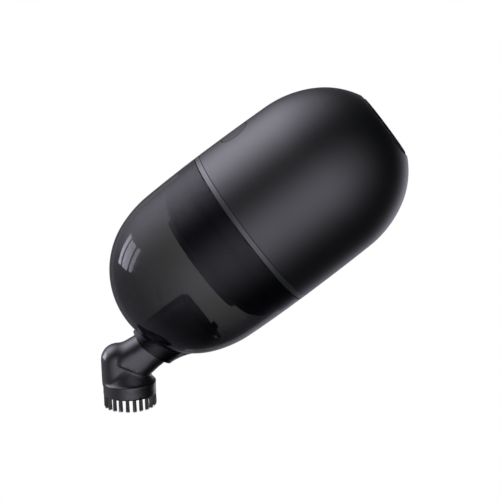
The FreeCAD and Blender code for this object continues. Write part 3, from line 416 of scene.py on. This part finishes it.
@finish
def board_mask(recipe):
    inputs = {"Vector": recipe.place(), "Scale": 1 / (2.2 * MM), "Mortar Size": 0.03}
    weave = recipe.add("ShaderNodeTexBrick", {}, inputs, "Fac")
    recipe.surface(
        Base_Color=recipe.blend(weave, (0.01, 0.1, 0.03, 1), (0.03, 0.2, 0.06, 1)),
        Roughness=0.35,
        Normal=recipe.bump(weave, depth=0.03 * MM),
    )


@finish
def bristle_nylon(recipe):
    tone = recipe.noise(1.2 * MM)
    recipe.surface(
        Base_Color=recipe.blend(tone, grey(0.004), grey(0.012)),
        Roughness=tone.between(0.36, 0.46),
    )


NODE_FINISHES = {
    "satin_shell": ["body_shell"],
    "trim_satin": ["trim_ring"],
    "button_satin": ["power_button"],
    "nozzle_satin": ["nozzle_body", "brush_ring"],
    "filter_dark": ["filter_holder", "filter_screen", "filter_top_cap", "filter_base"],
    "duct_black": ["inlet_duct", "valve_frame"],
    "inner_black": [
        "base_cap",
        "chassis",
        "fan_housing",
        "filter_deck",
        "power_switch",
    ],
    "impeller_white": ["impeller"],
    "smoked_clear": ["dust_cup"],
    "rubber": ["foot_pads", "cup_seal", "filter_gasket", "inlet_flap", "nozzle_seal"],
    "foam": ["exhaust_filter"],
    "filter_paper": ["filter_pleats"],
    "zinc_steel": ["motor", "motor_screws", "deck_screws", "charge_port"],
    "ground_steel": ["motor_shaft", "flap_pin"],
    "battery_wrap": ["battery"],
    "board_mask": ["main_board", "charge_board"],
    "bristle_nylon": ["bristle_tufts"],
}


def dress_nodes():
    """Give every carried-over node its finish."""
    for name, nodes in NODE_FINISHES.items():
        for node in nodes:
            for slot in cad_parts[node].material_slots:
                slot.material = FINISHES[name]


dress_nodes()

# ---------------------------------------------------------------- grown shapes


def grow(name, draw, sizes, material, points=()):
    """Plain mesh from a geometry tree with an input for each size, run on the points."""
    tree = bpy.data.node_groups.new(name, "GeometryNodeTree")
    sockets = tree.interface
    if points:
        sockets.new_socket("points", in_out="INPUT", socket_type="NodeSocketGeometry")
    for size, value in sizes.items():
        kind = "NodeSocketInt" if isinstance(value, int) else "NodeSocketFloat"
        sockets.new_socket(size, in_out="INPUT", socket_type=kind)
    sockets.new_socket("Geometry", in_out="OUTPUT", socket_type="NodeSocketGeometry")
    recipe = Recipe(tree)
    entry = tree.nodes.new("NodeGroupInput")
    given = {plug.name: Signal(recipe, plug) for plug in entry.outputs if plug.name}
    shape = draw(recipe, SimpleNamespace(**given))
    whole = recipe.add("GeometryNodeRealizeInstances", {}, {"Geometry": shape})
    dressed = {"Geometry": whole, "Material": material}
    painted = recipe.add("GeometryNodeSetMaterial", {}, dressed)
    recipe.add("NodeGroupOutput", {}, {"Geometry": painted})

    grown = add_mesh(name, points, [], material)
    modifier = grown.modifiers.new("grow", "NODES")
    modifier.node_group = tree
    for item in sockets.items_tree:
        if item.name in sizes:
            modifier[item.identifier] = sizes[item.name]
    bpy.context.view_layer.update()
    evaluated = grown.evaluated_get(bpy.context.evaluated_depsgraph_get())
    mesh = bpy.data.meshes.new_from_object(evaluated)
    grown.modifiers.clear()
    grown.data = mesh
    mesh.materials.clear()
    mesh.materials.append(material)
    return grown


# ---------------------------------------------------------------- nozzle

BRUSH_ELBOW = Vector((-13.3 * MM, 0, 121.05 * MM))
BRUSH_TILT = math.radians(-55.0)
GRAIN = 0.27

# millimetres and ratios: the tube by its height, the head by its way down the brush axis
NOZZLE_SIZES = {
    "tube_half_width": 6.8,
    "tube_half_depth": 6.1,
    "tube_corner": 5.6,
    "tube_wall": 1.3,
    "tube_low": 97.0,
    "tube_end": 3.6,
    "tube_end_round": 1.6,
    "tube_spread": 0.09,
    "snout_top": 112.8,
    "mitre_rise": 0.2,
    "mitre_round": 0.9,
    "groove_height": 103.0,
    "groove_half": 0.55,
    "groove_depth": 0.5,
    "cheek_half_depth": 5.7,
    "cheek_corner": 5.0,
    "cheek_front": -6.9,
    "cheek_slope": 0.2,
    "cheek_round": 1.0,
    "head_radius": 9.5,
    "head_top": -7.7,
    "head_round": 5.8,
    "hood_start": 0.8,
    "hood_top": -1.5,
    "hood_radius": 6.15,
    "hood_slope": 0.54,
    "hood_level": 0.88,  # cosine of the slope
    "hood_blend": 0.8,
    "hood_round": 1.0,
    "hood_wall": 1.56,
    "mouth_radius": 6.3,
    "mouth_start": 0.3,
    "bore_top": 1.0,
    "ring_start": 6.9,
    "ring_overlap": 1.0,
    "ring_radius": 9.2,
    "ring_end": 10.5,
    "ring_chamfer": 0.3,
    "fillet": 1.0,
    "cells_per_millimetre": 1 / GRAIN,
    "flat_merge": 0.05,
}
BLOCK_LOW = Vector((-28.0, -10.4, 96.0))
BLOCK_HIGH = Vector((-3.5, 10.4, 135.5))
SKIN_LEVEL = 1.0


def round_meet(first, second, corner):
    """The larger of two distances, with a round of the given radius where they meet."""
    first = first + corner
    second = second + corner
    outside = (first.larger(0) ** 2 + second.larger(0) ** 2) ** 0.5
    return outside + first.larger(second).smaller(0) - corner


def draw_nozzle(recipe, given):
    """Bent nozzle out of distances in millimetres: tube, cheek, hood and spigot."""
    place = recipe.add("GeometryNodeInputPosition")
    x, deep, height = [axis * (1 / MM) for axis in recipe.split(place)]
    across = x - BRUSH_ELBOW.x / MM
    above = height - BRUSH_ELBOW.z / MM
    cosine = math.cos(BRUSH_TILT)
    sine = -math.sin(BRUSH_TILT)
    back = across * cosine + above * sine
    along = above * cosine - across * sine
    mitre = back * math.sin(-BRUSH_TILT / 2) + along * math.cos(BRUSH_TILT / 2)
    radius = (back**2 + deep**2) ** 0.5

    def section(growth, corner):
        """Distance from a bar of the tube's section, grown all round."""
        wide = across.magnitude() - (given.tube_half_width + growth)
        thick = deep.magnitude() - (given.tube_half_depth + growth)
        return round_meet(wide, thick, corner)

    spread = (height - given.snout_top).larger(0) * given.tube_spread
    tube = section(spread, given.tube_corner)
    tube = tube.soften(back - given.tube_end, given.tube_end_round)
    tube = tube.soften(mitre - given.mitre_rise, given.mitre_round)
    tube = tube.larger(given.tube_low - height)

    crest = given.head_top - along
    outline = round_meet(back - given.head_radius, crest, given.head_round)
    outline = outline.larger(given.cheek_front - back)
    flank = deep.magnitude() - given.cheek_half_depth
    cheek = round_meet(outline, flank, given.cheek_corner)
    flare = (given.ring_start - along).larger(0) * given.cheek_slope
    cheek = cheek.soften(radius - given.head_radius - flare, given.cheek_round)
    cheek = round_meet(cheek, along - given.ring_start, given.hood_round)
    cheek = cheek.larger((-mitre).smaller(-back))

    cone = radius - ((along - given.hood_start) * given.hood_slope + given.hood_radius)
    hood = cone * given.hood_level
    hood = hood.soften(radius - given.head_radius, given.hood_blend)
    hood = round_meet(hood, along - given.ring_start, given.hood_round)
    hood = hood.larger(given.hood_top - along)

    rim = along - given.ring_end
    ring = round_meet(radius - given.ring_radius, rim, given.ring_chamfer)
    ring = ring.larger(given.ring_start - given.ring_overlap - along)

    bore = section(-given.tube_wall, given.tube_corner - given.tube_wall)
    bore = bore.larger(above - given.bore_top)
    mouth = (cone + given.hood_wall) * given.hood_level
    mouth = mouth.larger(radius - given.mouth_radius)
    cavity = bore.smaller(mouth.larger(given.mouth_start - along))
    band = section(-given.groove_depth, given.tube_corner - given.groove_depth)
    groove = (height - given.groove_height).magnitude() - given.groove_half

    solid = tube
    for part in (cheek, hood, ring):
        solid = solid.melt(part, given.fillet)
    shape = solid.larger(-cavity).larger(-groove.larger(-band))

    inputs = {
        "Density": (SKIN_LEVEL - shape).larger(0).smaller(2 * SKIN_LEVEL),
        "Background": 0.0,
        "Min": BLOCK_LOW * MM,
        "Max": BLOCK_HIGH * MM,
    }
    for axis, extent in zip("XYZ", BLOCK_HIGH - BLOCK_LOW):
        cells = given.cells_per_millimetre * extent
        inputs["Resolution " + axis] = cells.maths("ROUND")
    block = recipe.add("GeometryNodeVolumeCube", {}, inputs)
    inputs = {"Volume": block, "Threshold": SKIN_LEVEL, "Adaptivity": given.flat_merge}
    skin = recipe.add("GeometryNodeVolumeToMesh", {"resolution_mode": "GRID"}, inputs)
    return recipe.add("GeometryNodeSetShadeSmooth", {}, {"Geometry": skin})


def make_nozzle():
    """Softly moulded nozzle in place of the hard-edged one."""
    nozzle = grow("nozzle", draw_nozzle, NOZZLE_SIZES, FINISHES["nozzle_satin"])
    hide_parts("nozzle_body", "brush_ring")
    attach(nozzle, "brush_nozzle")


# ---------------------------------------------------------------- bristles

BRUSH_FRAME = Matrix.Translation(BRUSH_ELBOW) @ Matrix.Rotation(BRUSH_TILT, 4, "Y")
TUFT_COUNT = 22
TUFT_CIRCLE = 8.42 * MM
TUFT_LOW = 9.3 * MM
HAIR_SIZES = {
    "hairs_per_tuft": 84,
    "sides": 6,
    "length": 5.5 * MM,
    "shortest": 0.9,
    "radius": 0.07 * MM,
    "taper": 0.55,
    "spread": 0.6 * MM,
    "lean": math.radians(1.6),
    "least_lean": 0.2,
    "most_lean": 1.3,
}


def draw_hairs(recipe, given):
    """Leaning, tapered hairs round every tuft's point."""

    def chance(low, high, seed):
        inputs = {2: low, 3: high, "Seed": seed}
        return recipe.add("FunctionNodeRandomValue", {}, inputs, 1)

    points = recipe.add("GeometryNodeMeshToPoints", {}, {"Mesh": given.points})
    inputs = {"Geometry": points, "Amount": given.hairs_per_tuft}
    many = recipe.add("GeometryNodeDuplicateElements", {"domain": "POINT"}, inputs)

    turn = chance(0.0, 2 * math.pi, seed=3)
    reach = chance(0.0, 1.0, seed=5) ** 0.5
    across = turn.maths("COSINE")
    deep = turn.maths("SINE")
    out = reach * given.spread
    offset = recipe.add("ShaderNodeCombineXYZ", {}, {0: across * out, 1: deep * out})
    inputs = {"Geometry": many, "Offset": offset}
    spread = recipe.add("GeometryNodeSetPosition", {}, inputs)

    lean = reach * given.lean * chance(given.least_lean, given.most_lean, seed=7)
    tilt = recipe.add("ShaderNodeCombineXYZ", {}, {0: -(deep * lean), 1: across * lean})
    inputs = {
        "Vertices": given.sides,
        "Radius Top": given.radius * given.taper,
        "Radius Bottom": given.radius,
        "Depth": given.length,
    }
    hair = recipe.add("GeometryNodeMeshCone", {}, inputs)
    inputs = {"Points": spread, "Instance": hair, "Rotation": tilt}
    planted = recipe.add("GeometryNodeInstanceOnPoints", {}, inputs)
    length = chance(given.shortest, 1.0, seed=11)
    trim = recipe.add("ShaderNodeCombineXYZ", {}, {0: 1.0, 1: 1.0, 2: length})
    inputs = {"Instances": planted, "Scale": trim}
    return recipe.add("GeometryNodeScaleInstances", {}, inputs)


def make_bristles():
    """Nylon hairs in place of the plain tufts."""
    tufts = []
    for index in range(TUFT_COUNT):
        angle = 2 * math.pi * index / TUFT_COUNT
        x = TUFT_CIRCLE * math.cos(angle)
        y = TUFT_CIRCLE * math.sin(angle)
        tufts.append((x, y, TUFT_LOW))
    hairs = grow("bristles", draw_hairs, HAIR_SIZES, FINISHES["bristle_nylon"], tufts)
    hairs.data.transform(BRUSH_FRAME)
    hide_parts("bristle_tufts")
    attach(hairs, "brush_nozzle")


# ---------------------------------------------------------------- foot

FOOT_RADIUS = 10.55 * MM
FOOT_HALF_WIDTH = 1.0 * MM
FOOT_HALF_HEIGHT = 0.3 * MM
FOOT_STEPS = 144
FOOT_PROFILE = 24
FOOT_SQUARENESS = 0.3


def squared(value):
    """A sine or cosine pushed out towards a square profile."""
    return math.copysign(abs(value) ** FOOT_SQUARENESS, value)


def make_foot():
    """Low rubber ring that the cleaner stands on, in place of the three arcs."""
    spots = []
    faces = []
    for step in range(FOOT_STEPS):
        turn = 2 * math.pi * step / FOOT_STEPS
        here = step * FOOT_PROFILE
        there = (step + 1) % FOOT_STEPS * FOOT_PROFILE
        for index in range(FOOT_PROFILE):
            angle = 2 * math.pi * index / FOOT_PROFILE
            reach = FOOT_RADIUS + FOOT_HALF_WIDTH * squared(math.cos(angle))
            height = FOOT_HALF_HEIGHT * (1 + squared(math.sin(angle)))
            spots.append((reach * math.cos(turn), reach * math.sin(turn), height))
            after = (index + 1) % FOOT_PROFILE
            faces.append((here + index, there + index, there + after, here + after))
    foot = add_mesh("foot_ring", spots, faces, FINISHES["rubber"])
    foot.data.shade_smooth()
    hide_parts("foot_pads")
    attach(foot, "main_body")


make_nozzle()
make_bristles()
make_foot()

# ---------------------------------------------------------------- studio

FLOOR_SIZE = 6.0
FLOOR_TONE = 0.86
FLOOR_DROP = 0.0002

AMBIENT = 0.005
GLOW_COLOUR = (1.0, 0.965, 1.13, 1.0)

# each soft glow's turn from the camera and elevation in degrees, sharpness and radiance
GLOWS = {
    "side": (95.0, 8.0, 5.5, 4.1),
    "side_low": (95.0, -16.0, 6.0, 0.35),
    "front": (-20.0, 8.0, 5.0, 1.9),
    "front_low": (-20.0, -28.0, 5.0, 1.0),
    "behind": (180.0, 10.0, 2.0, 0.12),
    "rim": (-158.0, -12.0, 16.0, 0.85),
    "ceiling": (60.0, 85.0, 3.0, 0.6),
}

# shares of the window's width that its three panes fill
PANES = ((0.0, 0.21), (0.31, 0.7), (0.8, 1.0))
WINDOW_RADIANCE = 9.0
WINDOW_DISTANCE = 0.6
WINDOW_FACED_FROM = Vector((-12 * MM, -22 * MM, 95 * MM))
WINDOW_CORNERS = {
    "upper_left": Vector((0.705, 0.584, 0.402)),
    "upper_right": Vector((0.847, 0.022, 0.532)),
    "lower_right": Vector((0.583, 0.094, 0.807)),
    "lower_left": Vector((0.440, 0.615, 0.655)),
}


def softbox(name, turn, elevation, distance, width, height, radiance):
    """Soft rectangular lamp that faces the object."""
    middle = Vector((0, 0, AIM_HEIGHT))
    outward = from_camera(turn, elevation)
    data = bpy.data.lights.new(name, "AREA")
    data.shape = "RECTANGLE"
    data.size = width
    data.size_y = height
    data.energy = radiance * width * height * math.pi
    lamp = bpy.data.objects.new(name, data)
    lamp.location = middle + outward * distance
    lamp.rotation_mode = "QUATERNION"
    lamp.rotation_quaternion = outward.to_track_quat("Z", "Y")
    lamp.visible_camera = False
    lamp.visible_glossy = False
    bpy.context.collection.objects.link(lamp)


def make_floor():
    """Pale floor that is clear from below."""
    material, recipe = new_material("floor_pale")
    below = recipe.add("ShaderNodeNewGeometry", output="Backfacing")
    paint = recipe.add("ShaderNodeBsdfDiffuse", {}, {"Color": grey(FLOOR_TONE)})
    clear = recipe.add("ShaderNodeBsdfTransparent")
    mixed = recipe.add("ShaderNodeMixShader", {}, {0: below, 1: paint, 2: clear})
    recipe.add("ShaderNodeOutputMaterial", {}, {"Surface": mixed})
    half = FLOOR_SIZE / 2
    corners = ((-half, -half), (half, -half), (half, half), (-half, half))
    spots = [(x, y, -FLOOR_DROP) for x, y in corners]
    floor = add_mesh("floor", spots, [(0, 1, 2, 3)], material)
    floor.visible_shadow = False
    floor.visible_glossy = False


def make_window():
    """Tall window of three panes that only shows as a reflection."""
    material, recipe = new_material("window_light")
    inputs = {"Color": GLOW_COLOUR, "Strength": WINDOW_RADIANCE}
    light = recipe.add("ShaderNodeEmission", {}, inputs)
    recipe.add("ShaderNodeOutputMaterial", {}, {"Surface": light})
    corner = {
        name: WINDOW_FACED_FROM + way.normalized() * WINDOW_DISTANCE
        for name, way in WINDOW_CORNERS.items()
    }
    spots = []
    for start, end in PANES:
        outline = (("upper", start), ("upper", end), ("lower", end), ("lower", start))
        for edge, share in outline:
            spots.append(corner[edge + "_left"].lerp(corner[edge + "_right"], share))
    faces = [range(index, index + 4) for index in range(0, len(spots), 4)]
    window = add_mesh("window", spots, faces, material)
    window.visible_camera = False
    window.visible_diffuse = False
    window.visible_transmission = False
    window.visible_shadow = False


def make_world():
    """White where the camera looks past the object, soft glows elsewhere."""
    world = bpy.data.worlds.new("studio")
    world.use_nodes = True
    bpy.context.scene.world = world
    recipe = Recipe(world.node_tree)
    camera_ray = recipe.add("ShaderNodeLightPath", output="Is Camera Ray")
    through_ray = recipe.add("ShaderNodeLightPath", output="Is Transmission Ray")
    white = (camera_ray + through_ray).clamp()
    way = recipe.add("ShaderNodeTexCoord", output="Generated")
    glow = AMBIENT
    for turn, elevation, sharpness, radiance in GLOWS.values():
        inputs = {0: way, 1: from_camera(turn, elevation)}
        facing = recipe.add(
            "ShaderNodeVectorMath", {"operation": "DOT_PRODUCT"}, inputs, "Value"
        )
        glow = facing.clamp() ** sharpness * radiance + glow
    level = white + (1 - white) * glow
    mirrored = recipe.add("ShaderNodeLightPath", output="Is Glossy Ray")
    colour = recipe.blend(mirrored, grey(1.0), GLOW_COLOUR)
    shade = recipe.add("ShaderNodeBackground", {}, {"Color": colour, "Strength": level})
    recipe.add("ShaderNodeOutputWorld", {}, {"Surface": shade})


softbox(
    "shadow_caster",
    turn=60.0,
    elevation=65.0,
    distance=1.2,
    width=0.5,
    height=0.5,
    radiance=4.0,
)
make_window()
make_floor()
make_world()
bpy.context.scene.view_settings.view_transform = "Standard"
